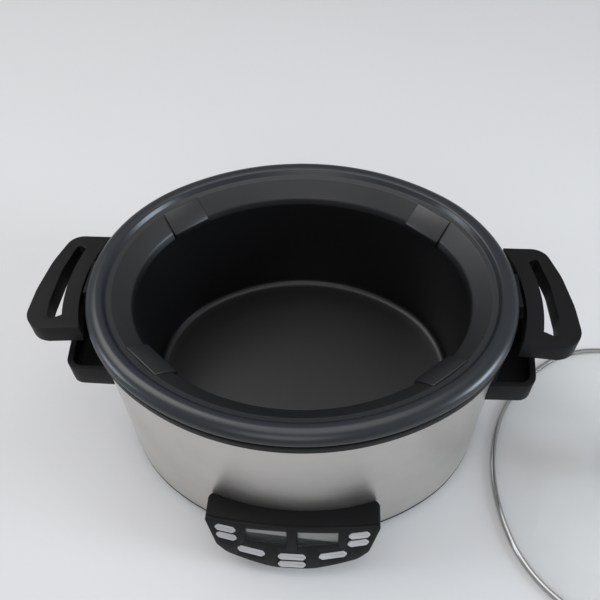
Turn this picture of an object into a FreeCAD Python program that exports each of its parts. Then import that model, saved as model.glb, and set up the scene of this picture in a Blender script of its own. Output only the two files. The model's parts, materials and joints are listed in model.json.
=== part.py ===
"""An oval slow cooker: heating base, removable pot with handles, and a glass lid beside it.

Millimetres, +Z up, +X to the cooker's right, -Y to its front. The origin is on the table, under the
middle of the heating base. Every oval is four tangent arcs: two end arcs about (+-end_centre, 0) and
two side arcs about (0, +-side_centre). All ovals share these centres, so each one is known by its
distance outside the steel shell, and a piece's section is a list of (distance, height) corners.
"""
import FreeCAD, Part
import os
import re

import Sketcher

SIZES = {
    # the oval of the steel shell
    "end_centre": 42, "side_centre": 56, "end_radius": 136,
    # heights of the base
    "foot_tall": 4, "foot_bar": 10, "pan_wall": 2.5, "pan_lip": 3, "pan_rise": 13,
    "shell_tall": 171, "shell_wall": 0.8,
    # collar round the top of the shell
    "collar_reach": 3, "collar_drop": 4.4, "collar_skirt": 13, "collar_plate": 2.8, "collar_in": 12,
    "collar_wall": 2.5, "fit_gap": 0.2, "loose_gap": 0.3,
    # heating well and what heats it
    "well_in": 29, "well_floor": 52, "well_wall": 0.8, "well_corner": 7.5,
    "plate_edge": 52, "plate_thick": 12, "element_line": 80, "element_bar": 4,
    "band_low": 85, "band_tall": 60, "band_thick": 1.4, "sleeve_thick": 8.5, "sleeve_tall": 103,
    "standoff_line": 44, "standoff_bar": 5, "screw_bar": 1.8, "screw_head": 3.8, "screw_cap": 2,
    "screw_deep": 12,
    # pot
    "pot_gap": 2.5, "pot_wall": 2.5, "pot_floor": 3, "pot_corner": 10, "mouth_high": 174.5,
    "shoulder_high": 188.5, "shoulder_edge": 17.5, "ridge_high": 195, "ridge_line": 6.5, "lip_low": 185,
    "rim_reach": 4, "rest_wide": 37, "rest_raise": 2, "rest_turn": 49,
    # pot handles and their brackets
    "grip_in": 191, "grip_out": 230, "grip_corner": 213, "grip_half": 55, "grip_flat": 39, "grip_low": 161,
    "grip_thick": 18, "grip_edge": 2.5, "slot_in": 204.5, "slot_out": 213.5, "slot_half": 40,
    "strap_half": 18, "strap_thick": 2, "strap_out": 7, "strap_low": 168, "strap_end": 202,
    "strap_screw": 197.5, "strap_screw_half": 11,
    # base handles
    "ear_low": 123.5, "ear_thick": 21.5, "ear_out": 202, "ear_half": 70, "ear_shoulder": 196,
    "ear_recess": 9, "ear_rim": 6, "ear_screw_half": 34,
    # control panel
    "panel_top": 61.5, "panel_half": 75.5, "panel_low_half": 66, "panel_drop": 31, "panel_round": 59,
    "panel_round_drop": 38.1, "panel_mid": 38, "panel_mid_drop": 44, "panel_near": 19,
    "panel_near_drop": 49.2, "panel_deep": 51.5, "panel_front": 166.2, "panel_tilt": 20,
    "panel_curve": 500, "fascia_thick": 2.5, "housing_wall": 2.2,
    "window_half": 17.8, "window_middle": 22.2, "window_top": 2.8, "window_tall": 16.2, "window_slant": 4.5,
    "board_back": 13.6, "board_thick": 1.6, "lcd_thick": 3, "panel_screw_half": 45, "panel_screw_high": 45,
    # push buttons
    "side_button_long": 19, "low_button_long": 25, "button_tall": 6.6, "button_proud": 1.3,
    "button_flange": 1, "button_travel": 1.5,
    # power board and inlet
    "post_tall": 8, "post_bar": 4, "power_long": 110, "power_wide": 64, "power_back": 20,
    "gland_high": 30, "gland_bar": 6.5, "gland_bore": 3.5, "gland_flange": 9.5,
    # sensor
    "sensor_bar": 9, "sensor_head": 6, "stem_bar": 3.5, "bracket_high": 33, "bracket_thick": 1.5,
    "bracket_long": 50, "bracket_wide": 18,
    "spring_bar": 4.9, "spring_wire": 0.7, "sensor_travel": 2,
    # lid, lying on the table
    "lid_x": 312, "lid_y": -72, "lid_turn": 71.5, "lid_edge": 28, "lid_band": 4, "lid_band_tall": 5,
    "glass_thick": 4, "glass_rise": 24, "knob_bar": 22, "knob_tall": 24, "knob_waist": 13, "washer_bar": 16,
    "washer_thick": 1.5, "knob_cap": 10, "glass_edge_low": 0.4, "vent_x": 62, "vent_bar": 4,
}
FUNCTIONS = ("sqrt", "atan", "sin", "cos")
SIDE_RADIUS = "end_radius + sqrt(end_centre^2 + side_centre^2)"
PAN_FLOOR = "foot_tall + pan_wall"
SHELL_LOW = "foot_tall + pan_lip"
SHELL_TOP = "foot_tall + pan_lip + shell_tall"
COLLAR_UNDER = f"{SHELL_TOP} + fit_gap"
COLLAR_TOP = f"{COLLAR_UNDER} + collar_plate"
WELL_FLANGE = f"{COLLAR_UNDER} - collar_plate - well_corner"
POT_OUT = "-well_in - pot_gap"
POT_IN = "-well_in - pot_gap - pot_wall"
PLATE_LOW = "well_floor - well_wall - plate_thick"
POWER_LOW = "foot_tall + pan_wall + post_tall"

doc = FreeCAD.newDocument("SlowCooker")
sheet = doc.addObject("Spreadsheet::Sheet", "Sizes")
for row, (word, size) in enumerate(SIZES.items(), start=1):
    sheet.set(f"A{row}", word)
    sheet.set(f"B{row}", str(size))
    sheet.setAlias(f"B{row}", word)
doc.recompute()
parts = []


# ---------------------------------------------------------------- binding sizes to the sheet
def bound(text):
    """The expression with every size word pointed at its cell in the sheet."""
    def cell(match):
        return match[0] if match[0] in FUNCTIONS else "Sizes." + match[0]
    return re.sub(r"[a-z]+(_[a-z]+)*", cell, str(text))


def number(text):
    """What the expression comes to now."""
    found = sheet.evalExpression(bound(text))
    return float(getattr(found, "Value", found))


def bind(item, **texts):
    for name, text in texts.items():
        item.setExpression(name, bound(text))


def place(item, x="0", y="0", z="0"):
    for axis, text in zip("xyz", (x, y, z)):
        item.setExpression(f".Placement.Base.{axis}", bound(text))
    return item


def keep(item, label):
    """Mark an object as a sub-part that gets a file of its own."""
    item.Label = label
    parts.append(item)
    return item


# ---------------------------------------------------------------- sketches
def start_sketch(body, role):
    sketch = body.newObject("Sketcher::SketchObject", "Sketch")
    plane = [item for item in body.Origin.OriginFeatures if item.Role == role][0]
    sketch.AttachmentSupport = [(plane, "")]
    sketch.MapMode = "FlatFace"
    return sketch


def pin(sketch, shape, point, x, y):
    """Fix a point of a sketch shape to two expressions."""
    for kind, axis, text in (("DistanceX", -2, x), ("DistanceY", -1, y)):
        if abs(number(text)) < 1e-9:
            sketch.addConstraint(Sketcher.Constraint("PointOnObject", shape, point, axis))
        else:
            item = sketch.addConstraint(Sketcher.Constraint(kind, -1, 1, shape, point, number(text)))
            sketch.setExpression(f"Constraints[{item}]", bound(text))


def outline(body, role, corners):
    """A closed sketch of straight lines through corners, each a pair of expressions."""
    sketch = start_sketch(body, role)
    points = [FreeCAD.Vector(number(x), number(y), 0) for x, y in corners]
    for start, end in zip(points, points[1:] + points[:1]):
        sketch.addGeometry(Part.LineSegment(start, end), False)
    count = len(points)
    sketch.addConstraint([Sketcher.Constraint("Coincident", i, 2, (i + 1) % count, 1) for i in range(count)])
    for i, (x, y) in enumerate(corners):
        pin(sketch, i, 1, x, y)
    return sketch


def circles(body, role, spots, radius):
    """A sketch of equal circles at spots, each a pair of expressions."""
    sketch = start_sketch(body, role)
    for i, (x, y) in enumerate(spots):
        middle = FreeCAD.Vector(number(x), number(y), 0)
        sketch.addGeometry(Part.Circle(middle, FreeCAD.Vector(0, 0, 1), number(radius)), False)
        pin(sketch, i, 3, x, y)
        item = sketch.addConstraint(Sketcher.Constraint("Radius", i, number(radius)))
        sketch.setExpression(f"Constraints[{item}]", bound(radius))
    return sketch


def mirrored(corners):
    """Half an outline and its mirror image across the vertical axis, as one closed list."""
    return corners + [(f"-({x})", y) for x, y in reversed(corners) if x != "0"]


def flipped(corners):
    """Half an outline and its mirror image across the horizontal axis, as one closed list."""
    return corners + [(x, f"-({y})") for x, y in reversed(corners) if y != "0"]


# ---------------------------------------------------------------- solids
def new_body():
    return doc.addObject("PartDesign::Body", "Body")


def pad(body, sketch, length, middle=False, back=False):
    feature = body.newObject("PartDesign::Pad", "Pad")
    feature.Profile = sketch
    feature.SideType = "Symmetric" if middle else "One side"
    feature.Reversed = back
    bind(feature, Length=length)
    return feature


def prism(corners, low, tall, role="XY_Plane", middle=False):
    """An upright block with the given outline, from height low."""
    body = new_body()
    pad(body, outline(body, role, corners), tall, middle)
    place(body, z=low)
    return body


def oval(draw):
    """Carry a section right round the oval. draw(body, role, line) makes the section's sketch, where
    line is the sketch distance at which the shell's face lies."""
    body = new_body()
    turns = (
        ("XZ_Plane", "YZ_Plane", "end_centre", "end_radius", "2 * atan(side_centre / end_centre)"),
        ("YZ_Plane", "XZ_Plane", "-side_centre", SIDE_RADIUS, "2 * atan(end_centre / side_centre)"),
    )
    arcs = []
    for role, across, centre, radius, angle in turns:
        sketch = draw(body, role, centre, f"{centre} + {radius}")
        middle = number(centre)
        ends = [FreeCAD.Vector(middle, height, 0) for height in (0, 30)]
        line = sketch.addGeometry(Part.LineSegment(*ends), True)
        pin(sketch, line, 1, centre, "0")
        sketch.addConstraint(Sketcher.Constraint("Vertical", line))
        arc = body.newObject("PartDesign::Revolution", "Arc")
        arc.Profile = sketch
        arc.ReferenceAxis = (sketch, ["Axis0"])
        arc.Midplane = True
        bind(arc, Angle=angle)
        arcs.append((arc, across))
    for arc, across in arcs:
        mirror = body.newObject("PartDesign::Mirrored", "Mirror")
        plane = [item for item in body.Origin.OriginFeatures if item.Role == across][0]
        mirror.Originals = [arc]
        mirror.MirrorPlane = (plane, [""])
        body.Tip = mirror
        doc.recompute()
    return body


def oval_piece(corners):
    """An oval piece from its section's corners. A distance of None lies on the arcs' own centre."""
    def draw(body, role, centre, line):
        spots = [(centre if out is None else f"{line} + {out}", high) for out, high in corners]
        return outline(body, role, spots)
    return oval(draw)


def oval_bar(out, high, radius):
    """A round bar bent into an oval."""
    return oval(lambda body, role, centre, line: circles(body, role, [(f"{line} + {out}", high)], radius))


def rod(radius, length, x="0", y="0", z="0", axis=None):
    """A cylinder that starts at (x, y, z) and points up, or along axis."""
    item = doc.addObject("Part::Cylinder", "Rod")
    bind(item, Radius=radius, Height=length)
    if axis:
        item.Placement = FreeCAD.Placement(FreeCAD.Vector(), FreeCAD.Rotation(FreeCAD.Vector(0, 0, 1), axis))
    return place(item, x, y, z)


def block(long, wide, tall, x="0", y="0", z="0"):
    """A box centred on (x, y) that stands on z."""
    item = doc.addObject("Part::Box", "Block")
    bind(item, Length=long, Width=wide, Height=tall)
    return place(item, f"{x} - ({long}) / 2", f"{y} - ({wide}) / 2", z)


def cut(base, *tools):
    item = doc.addObject("Part::Cut", "Cut")
    item.Base = base
    item.Tool = tools[0] if len(tools) == 1 else group(*tools)
    return item


def fused(*items):
    item = doc.addObject("Part::MultiFuse", "Fuse")
    item.Shapes = list(items)
    return item


def shared(base, tool):
    item = doc.addObject("Part::Common", "Common")
    item.Base = base
    item.Tool = tool
    return item


def group(*items):
    """Separate solids kept together."""
    item = doc.addObject("Part::Compound", "Group")
    item.Links = list(items)
    return item


def other_side(item):
    """The mirror image on the cooker's left."""
    mirror = doc.addObject("Part::Mirroring", "LeftSide")
    mirror.Source = item
    mirror.Normal = FreeCAD.Vector(1, 0, 0)
    return mirror


FAR_X = FreeCAD.Vector(1, 0, 0)
FAR_Y = FreeCAD.Vector(0, 1, 0)
QUARTERS = [("", ""), ("-", ""), ("", "-"), ("-", "-")]


def four(make, x, y):
    """The same piece at four places, symmetric about both middles."""
    return [make(f"{a}({x})", f"{b}({y})") for a, b in QUARTERS]


# ---------------------------------------------------------------- base: pan, feet, shell, collar
STANDOFF_X = "end_centre + (end_radius - standoff_line) * cos(30)"
STANDOFF_Y = "(end_radius - standoff_line) * sin(30)"
FOOT_X = "end_centre + (end_radius - standoff_line) * cos(50)"
FOOT_Y = "(end_radius - standoff_line) * sin(50)"
POST_X = "power_long / 2 - post_bar - 1"
POST_Y = "power_wide / 2 - post_bar - 1"

pan_cup = oval_piece([
    (None, "foot_tall"), ("-1", "foot_tall"), ("0", "foot_tall + 1"), ("0", SHELL_LOW),
    ("-shell_wall - fit_gap", SHELL_LOW), ("-shell_wall - fit_gap", f"{SHELL_LOW} + pan_rise"),
    ("-shell_wall - fit_gap - pan_wall", f"{SHELL_LOW} + pan_rise"),
    ("-shell_wall - fit_gap - pan_wall", PAN_FLOOR), (None, PAN_FLOOR)])
posts = [rod("post_bar", "post_tall", x, f"{y} + power_back", PAN_FLOOR)
         for x in (POST_X, f"-({POST_X})") for y in (POST_Y, f"-({POST_Y})")]
pan_holes = four(lambda x, y: rod("screw_bar + fit_gap", "pan_wall + 2", x, y, "foot_tall - 1"),
                 STANDOFF_X, STANDOFF_Y)
keep(cut(fused(pan_cup, *posts), *pan_holes), "base_pan")
keep(group(*four(lambda x, y: rod("foot_bar", "foot_tall", x, y), FOOT_X, FOOT_Y)), "rubber_feet")

shell_ring = oval_piece([("0", SHELL_LOW), ("0", SHELL_TOP), ("-shell_wall", SHELL_TOP),
                         ("-shell_wall", SHELL_LOW)])
EAR_SCREW_HIGH = "ear_low + (ear_thick - ear_recess) / 2"
shell_holes = [rod("screw_bar + fit_gap", "end_centre + end_radius + 4", "0", y, EAR_SCREW_HIGH, way)
               for y in ("ear_screw_half", "-ear_screw_half") for way in (FAR_X, -FAR_X)]
shell_holes += [rod("screw_bar + fit_gap", "200", x, "-200", "panel_screw_high", FAR_Y)
                for x in ("panel_screw_half", "-panel_screw_half")]
shell_holes += [rod("8", "200", "0", "-200", "panel_screw_high", FAR_Y),
                rod("gland_bar + fit_gap", "200", "0", "0", "gland_high", FAR_Y)]
keep(cut(shell_ring, *shell_holes), "outer_shell")

keep(oval_piece([
    ("collar_reach", f"{SHELL_TOP} - collar_drop"), ("collar_reach", f"{COLLAR_TOP} - 1.2"),
    ("collar_reach - 1.2", COLLAR_TOP), ("-collar_in", COLLAR_TOP), ("-collar_in", WELL_FLANGE),
    ("-collar_in + collar_wall", WELL_FLANGE), ("-collar_in + collar_wall", COLLAR_UNDER),
    ("-shell_wall - fit_gap - collar_wall", COLLAR_UNDER),
    ("-shell_wall - fit_gap - collar_wall", f"{SHELL_TOP} - collar_skirt"),
    ("-shell_wall - fit_gap", f"{SHELL_TOP} - collar_skirt"), ("-shell_wall - fit_gap", COLLAR_UNDER),
    ("fit_gap", COLLAR_UNDER), ("fit_gap", f"{SHELL_TOP} - collar_drop")]), "base_collar")

# ---------------------------------------------------------------- heating well and heaters
well_cup = oval_piece([
    (None, "well_floor - well_wall"), ("-well_in + well_wall - well_corner", "well_floor - well_wall"),
    ("-well_in + well_wall", "well_floor - well_wall + well_corner"),
    ("-well_in + well_wall", f"{WELL_FLANGE} - well_wall"),
    ("-shell_wall - 2 * fit_gap - collar_wall - fit_gap", f"{WELL_FLANGE} - well_wall"),
    ("-shell_wall - 2 * fit_gap - collar_wall - fit_gap", WELL_FLANGE),
    ("-well_in", WELL_FLANGE), ("-well_in", "well_floor + well_corner"),
    ("-well_in - well_corner", "well_floor"), (None, "well_floor")])
keep(cut(well_cup, rod("sensor_bar + fit_gap", "10", z="well_floor - 5")), "heating_well")

plate_disc = oval_piece([(None, PLATE_LOW), ("-plate_edge", PLATE_LOW),
                         ("-plate_edge", "well_floor - well_wall"), (None, "well_floor - well_wall")])
groove = oval_bar("-element_line", PLATE_LOW, "element_bar + loose_gap")
keep(cut(plate_disc, groove, rod("sensor_bar + loose_gap", "plate_thick + 2", z=f"{PLATE_LOW} - 1")),
     "heater_plate")
keep(oval_bar("-element_line", PLATE_LOW, "element_bar"), "heating_element")

BAND_IN = "-well_in + well_wall + fit_gap"
SLEEVE_IN = "-well_in + well_wall + 2 * fit_gap + band_thick"
keep(oval_piece([(BAND_IN, "band_low"), (f"{BAND_IN} + band_thick", "band_low"),
                 (f"{BAND_IN} + band_thick", "band_low + band_tall"), (BAND_IN, "band_low + band_tall")]),
     "side_band_heater")
SLEEVE_TOP = f"{WELL_FLANGE} - well_wall - fit_gap"
keep(oval_piece([(SLEEVE_IN, f"{SLEEVE_TOP} - sleeve_tall"),
                 (f"{SLEEVE_IN} + sleeve_thick", f"{SLEEVE_TOP} - sleeve_tall"),
                 (f"{SLEEVE_IN} + sleeve_thick", SLEEVE_TOP), (SLEEVE_IN, SLEEVE_TOP)]),
     "insulation_sleeve")
keep(rod("3", "22", "30", "-11", f"{PLATE_LOW} - 3", FAR_Y), "thermal_fuse")

STANDOFF_TALL = f"well_floor - well_wall - ({PAN_FLOOR})"


def standoff(x, y):
    post = rod("standoff_bar", STANDOFF_TALL, x, y, PAN_FLOOR)
    return cut(post, rod("screw_bar + fit_gap / 2", "screw_deep + 1", x, y, f"{PAN_FLOOR} - 1"))


def base_screw(x, y):
    shaft = rod("screw_bar", "screw_deep - 1 + pan_wall + screw_cap", x, y, "foot_tall - screw_cap")
    return fused(rod("screw_head", "screw_cap", x, y, "foot_tall - screw_cap"), shaft)


keep(group(*four(standoff, STANDOFF_X, STANDOFF_Y)), "well_standoffs")
keep(group(*four(base_screw, STANDOFF_X, STANDOFF_Y)), "base_screws")

# ---------------------------------------------------------------- sprung temperature sensor
STEM_LOW = "bracket_high - bracket_thick"
keep(fused(rod("sensor_bar", "sensor_head", z="well_floor - sensor_head"),
           rod("stem_bar", f"well_floor - ({STEM_LOW}) + 2", z=f"{STEM_LOW} - 2"),
           rod("stem_bar + 2", "2", z=f"{STEM_LOW} - 2")), "temperature_sensor")
strap_plate = block("bracket_long", "bracket_wide", "bracket_thick", z=STEM_LOW)
legs = [block("bracket_thick", "bracket_wide", f"{PLATE_LOW} - ({STEM_LOW})",
              f"{side} * (bracket_long - bracket_thick) / 2", z=STEM_LOW) for side in (1, -1)]
keep(cut(fused(strap_plate, *legs), rod("stem_bar + loose_gap", "10", z=f"{STEM_LOW} - 4")), "sensor_bracket")
coil = doc.addObject("Part::Helix", "Coil")
SPRING_TALL = "well_floor - sensor_head - bracket_high - 2 * spring_wire"
bind(coil, Pitch=f"({SPRING_TALL}) / 4", Height=SPRING_TALL, Radius="spring_bar")
place(coil, z="bracket_high + spring_wire")
wire_end = doc.addObject("Part::RegularPolygon", "WireEnd")
wire_end.Polygon = 8
bind(wire_end, Circumradius="spring_wire")
wire_end.Placement = FreeCAD.Placement(FreeCAD.Vector(), FreeCAD.Rotation(FreeCAD.Vector(0, 0, 1), FAR_Y))
place(wire_end, x="spring_bar", z="bracket_high + spring_wire")
spring = doc.addObject("Part::Sweep", "Spring")
spring.Sections = [wire_end]
spring.Spine = (coil, [])
spring.Solid = True
spring.Frenet = True
keep(spring, "sensor_spring")

# ---------------------------------------------------------------- power board and cord inlet
BOARD_TOP = f"{POWER_LOW} + board_thick"
keep(block("power_long", "power_wide", "board_thick", y="power_back", z=POWER_LOW), "power_board")
keep(block("29", "12.5", "15", "-30", "power_back + 12", BOARD_TOP), "power_relay")
keep(rod("6", "16", "34", "power_back + 16", BOARD_TOP), "filter_capacitor")
keep(block("30", "10", "11", "30", "power_back - 22", BOARD_TOP), "terminal_block")
BACK = f"{SIDE_RADIUS} - side_centre"
keep(cut(fused(rod("gland_bar", "16", y=f"{BACK} - 12", z="gland_high", axis=FAR_Y),
               rod("gland_flange", "4", y=f"{BACK} + loose_gap", z="gland_high", axis=FAR_Y),
               rod("gland_flange - 1", "2", y=f"{BACK} - shell_wall - 2 - loose_gap", z="gland_high",
                   axis=FAR_Y)),
         rod("gland_bore", "40", y=f"{BACK} - 20", z="gland_high", axis=FAR_Y)), "cord_gland")

# ---------------------------------------------------------------- pot
pot_skin = oval_piece([
    (None, "well_floor"), (f"{POT_OUT} - pot_corner", "well_floor"),
    (f"{POT_OUT} - 0.35 * pot_corner", "well_floor + 0.25 * pot_corner"),
    (POT_OUT, "well_floor + pot_corner"), (POT_OUT, "mouth_high - 1.7"),
    ("-shoulder_edge + 0.5", "shoulder_high - 2.9"), ("-ridge_line - 5.5", "shoulder_high - 2"),
    ("-ridge_line - 2", "ridge_high - 4"), ("-ridge_line + 4.5", "ridge_high - 4.2"),
    ("rim_reach - 3", "lip_low + 3"), ("rim_reach - 2.5", "lip_low"), ("rim_reach - 0.4", "lip_low"),
    ("rim_reach", "lip_low + 2"), ("rim_reach - 1.5", "ridge_high - 4.5"),
    ("-ridge_line + 5.5", "ridge_high - 1.5"), ("-ridge_line", "ridge_high"),
    ("-ridge_line - 3.5", "ridge_high - 1.5"), ("-ridge_line - 6.5", "shoulder_high + 1.3"),
    ("-ridge_line - 8", "shoulder_high + 0.8"), ("-shoulder_edge", "shoulder_high"),
    ("-well_in - pot_gap - 1.5", "mouth_high"), (POT_IN, "mouth_high - 2.5"),
    (POT_IN, "well_floor + pot_floor + pot_corner"),
    (f"{POT_IN} - 0.35 * pot_corner", "well_floor + pot_floor + 0.25 * pot_corner"),
    (f"{POT_IN} - pot_corner", "well_floor + pot_floor"), (None, "well_floor + pot_floor")])
rest_ring = oval_piece([
    ("-shoulder_edge", "shoulder_high"), ("-shoulder_edge - rest_raise", "shoulder_high"),
    (f"{POT_IN} - 1.5", "mouth_high"), (f"{POT_IN} - 1.5", "mouth_high - 2.5"),
    (POT_IN, "mouth_high - 4"), (f"{POT_IN} + 1", "mouth_high - 4"),
    ("-shoulder_edge - 1", "shoulder_high - 2")])


def rest_window(turn):
    """The upright block that cuts one rack rest out of the ring, square to the end arc."""
    item = group(block("60", "rest_wide", "60", "end_radius - 25", z="mouth_high - 24.5"))
    middle = FreeCAD.Vector(number("end_centre") * (1 if abs(turn) < 90 else -1), 0, 0)
    item.Placement = FreeCAD.Placement(middle, FreeCAD.Rotation(FreeCAD.Vector(0, 0, 1), turn))
    return item


lean = number("rest_turn")
rest_windows = fused(*[rest_window(turn) for turn in (lean, 180 - lean, -lean, lean - 180)])
keep(fused(pot_skin, shared(rest_ring, rest_windows)), "cooking_pot")

# ---------------------------------------------------------------- pot handles, brackets and screws
RIGHT = "end_centre + end_radius"
grip = prism(flipped([("grip_in", "grip_half - 2"), ("grip_corner", "grip_half"),
                      ("grip_out - 1", "grip_flat"), ("grip_out", "0")]), "grip_low", "grip_thick")
doc.recompute()
grip_pad = grip.Tip
bevel = grip.newObject("PartDesign::Chamfer", "Bevel")
crown = [f"Edge{i}" for i, edge in enumerate(grip_pad.Shape.Edges, 1)
         if all(abs(v.Z - number("grip_thick")) < 1e-6 for v in edge.Vertexes)]
bevel.Base = (grip_pad, crown)
bind(bevel, Size="grip_edge")
finger_slot = block("slot_out - slot_in", "2 * slot_half", "grip_thick + 2",
                    "(slot_in + slot_out) / 2", z="grip_low - 1")
strap_slot = block("strap_end + 2 * fit_gap - grip_in + 1", "2 * strap_half + 2 * fit_gap",
                   "strap_thick + 2 * fit_gap", "(strap_end + 2 * fit_gap + grip_in - 1) / 2",
                   z="strap_low - fit_gap")
grip_bores = [rod("screw_bar + fit_gap", "strap_low - grip_low + 6", "strap_screw", y, "grip_low - 1")
              for y in ("strap_screw_half", "-strap_screw_half")]
grip_sinks = [rod("screw_head + fit_gap", "screw_cap + 1", "strap_screw", y, "grip_low - 1")
              for y in ("strap_screw_half", "-strap_screw_half")]
pot_handle = keep(cut(grip, finger_slot, strap_slot, *grip_bores, *grip_sinks), "pot_handle_right")
keep(other_side(pot_handle), "pot_handle_left")

strap = new_body()
WEB_OUT = f"{RIGHT} + strap_out"
pad(strap, outline(strap, "XZ_Plane", [
    (f"{RIGHT} + rim_reach - 3.5", "lip_low"), (WEB_OUT, "lip_low"), (WEB_OUT, "strap_low + strap_thick"),
    ("strap_end", "strap_low + strap_thick"), ("strap_end", "strap_low"),
    (f"{WEB_OUT} - strap_thick", "strap_low"), (f"{WEB_OUT} - strap_thick", "lip_low - strap_thick"),
    (f"{RIGHT} + rim_reach - 3.5", "lip_low - strap_thick")]), "2 * strap_half", middle=True)
strap_bores = [rod("screw_bar + fit_gap", "strap_thick + 2", "strap_screw", y, "strap_low - 1")
               for y in ("strap_screw_half", "-strap_screw_half")]
bracket = keep(cut(strap, *strap_bores), "pot_handle_bracket_right")
keep(other_side(bracket), "pot_handle_bracket_left")


def grip_screw(x, y):
    shaft = rod("screw_bar", "strap_low - grip_low + 4.5", x, y, "grip_low")
    return fused(rod("screw_head", "screw_cap", x, y, "grip_low"), shaft)


keep(group(*four(grip_screw, "strap_screw", "strap_screw_half")), "pot_handle_screws")

# ---------------------------------------------------------------- base handles and screws
def shell_core(gap):
    """The filled oval at the given distance outside the shell, for trimming what fits against it."""
    return oval_piece([(None, "-10"), (gap, "-10"), (gap, "220"), (None, "220")])


near_core = shell_core("loose_gap")
ear = prism(flipped([("ear_out - 60", "ear_half + 2"), ("ear_out - 12", "ear_half"),
                     ("ear_shoulder", "ear_half - 9"), ("ear_out - 1.5", "ear_half / 2"), ("ear_out", "0")]),
            "ear_low", "ear_thick")
scoop = prism(flipped([("ear_out - 60", "ear_half - 2 * ear_rim"), ("ear_out - 15", "ear_half - 3 * ear_rim"),
                       ("ear_out - ear_rim - 1.5", "ear_half / 2 - ear_rim"), ("ear_out - ear_rim", "0")]),
              "ear_low + ear_thick - ear_recess", "ear_recess + 1")
ear_bores = [rod("screw_bar + fit_gap / 2", "26", f"{RIGHT} - 20", y, EAR_SCREW_HIGH, FAR_X)
             for y in ("ear_screw_half", "-ear_screw_half")]
hollow_room = cut(scoop, shell_core("housing_wall"))
base_handle = keep(cut(ear, near_core, hollow_room, *ear_bores), "base_handle_right")
keep(other_side(base_handle), "base_handle_left")

EAR_WALL = "end_centre + sqrt((end_radius - shell_wall)^2 - ear_screw_half^2)"


def ear_screw(side, y):
    """A pan-head screw driven outwards through the shell into the base handle on that side."""
    way = FAR_X * number(side)
    start = f"({side}) * ({EAR_WALL} - screw_cap - 1.2)"
    head = rod("screw_head", "screw_cap", start, y, EAR_SCREW_HIGH, way)
    shaft = rod("screw_bar", "screw_cap + 11", start, y, EAR_SCREW_HIGH, way)
    return fused(head, shaft)


keep(group(*four(ear_screw, "1", "ear_screw_half")), "base_handle_screws")

# ---------------------------------------------------------------- control panel
TILT = FreeCAD.Rotation(FAR_X, 90 - number("panel_tilt"))


def on_panel(item, turn=0.0):
    """Put an item drawn flat, +Z outwards, on the tilted face; turn swings it round the face's curve."""
    curve = number("panel_curve")
    swing = FreeCAD.Placement(FreeCAD.Vector(), FreeCAD.Rotation(FAR_Y, turn), FreeCAD.Vector(0, 0, -curve))
    top = FreeCAD.Placement(FreeCAD.Vector(0, -number("panel_front"), number("panel_top - 1.5")), TILT)
    item.Placement = top.multiply(swing).multiply(item.Placement)
    return item


def panel_drum(inset):
    """The big lying cylinder whose front is the panel's curved face, moved back by inset."""
    drum = doc.addObject("Part::Cylinder", "Drum")
    bind(drum, Radius=f"panel_curve - {inset}", Height="200")
    flat = FreeCAD.Rotation(FreeCAD.Vector(0, 0, 1), FAR_Y)
    drum.Placement = FreeCAD.Placement(FreeCAD.Vector(0, -100, -number("panel_curve")), flat)
    return on_panel(drum)


LEVEL = "cos(panel_tilt)"


def panel_prism(inset, deep):
    """A block with the panel's outline seen from the front, running back from in front of it."""
    body = new_body()
    def high(drop):
        return f"panel_top - ({drop} - {inset}) * {LEVEL}"
    corners = mirrored([
        ("0", f"panel_top - {inset}"), (f"panel_half - {inset}", f"panel_top - {inset}"),
        (f"panel_low_half - {inset}", high("panel_drop")),
        (f"panel_round - {inset}", high("panel_round_drop")), ("panel_mid", high("panel_mid_drop")),
        ("panel_near", high("panel_near_drop")), ("0", high("panel_deep"))])
    pad(body, outline(body, "XZ_Plane", corners), deep, back=True)
    place(body, y="-220")
    return body


fascia_slab = shared(panel_prism("0", "160"), cut(panel_drum("0"), panel_drum("fascia_thick")))
BUTTONS = {
    # name: (across, down, turn in degrees, length)
    "button_temp_up": (-57.5, 5.5, -4, "side_button_long"),
    "button_temp_down": (-56.8, 14.8, -6, "side_button_long"),
    "button_time_up": (57.5, 5.5, 4, "side_button_long"),
    "button_time_down": (56.8, 14.8, 6, "side_button_long"),
    "button_slow_cook": (-35.5, 29.8, -10, "low_button_long"),
    "button_brown": (0, 33.2, 0, "low_button_long"),
    "button_steam": (35.5, 29.8, 10, "low_button_long"),
    "button_start_stop": (0, 42.8, 0, "low_button_long"),
}


def pill(long, tall, low, thick):
    """A flat bar with round ends, drawn about its own middle."""
    reach = f"({long} - ({tall})) / 2"
    ends = [rod(f"({tall}) / 2", thick, x, z=low) for x in (reach, f"-{reach}")]
    return fused(block(f"2 * {reach}", tall, thick, z=low), *ends)


def at_button(item, name):
    across, down, turn, _ = BUTTONS[name]
    spin = FreeCAD.Rotation(FreeCAD.Vector(0, 0, 1), turn)
    item.Placement = FreeCAD.Placement(FreeCAD.Vector(0, -down, 0), spin)
    return on_panel(item, across / number("panel_curve") * 57.29578)


def push_button(name):
    long = BUTTONS[name][3]
    low = "-fascia_thick - loose_gap - 1.5"
    cap = pill(long, "button_tall", low, "fascia_thick + loose_gap + 1.5 + button_proud")
    flange = pill(f"{long} + 2 * button_flange", "button_tall + button_flange", low, "1.5")
    return at_button(fused(cap, flange), name)


def button_space(name, rim, thick):
    """The room a button needs: its outline and the rim's widening, from 8 mm inside the face."""
    return at_button(pill(f"{BUTTONS[name][3]} + 2 * ({rim} + loose_gap)",
                          f"button_tall + {rim} + 2 * loose_gap", "-8", thick), name)


button_holes = [button_space(name, "0", "16") for name in BUTTONS]


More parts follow.
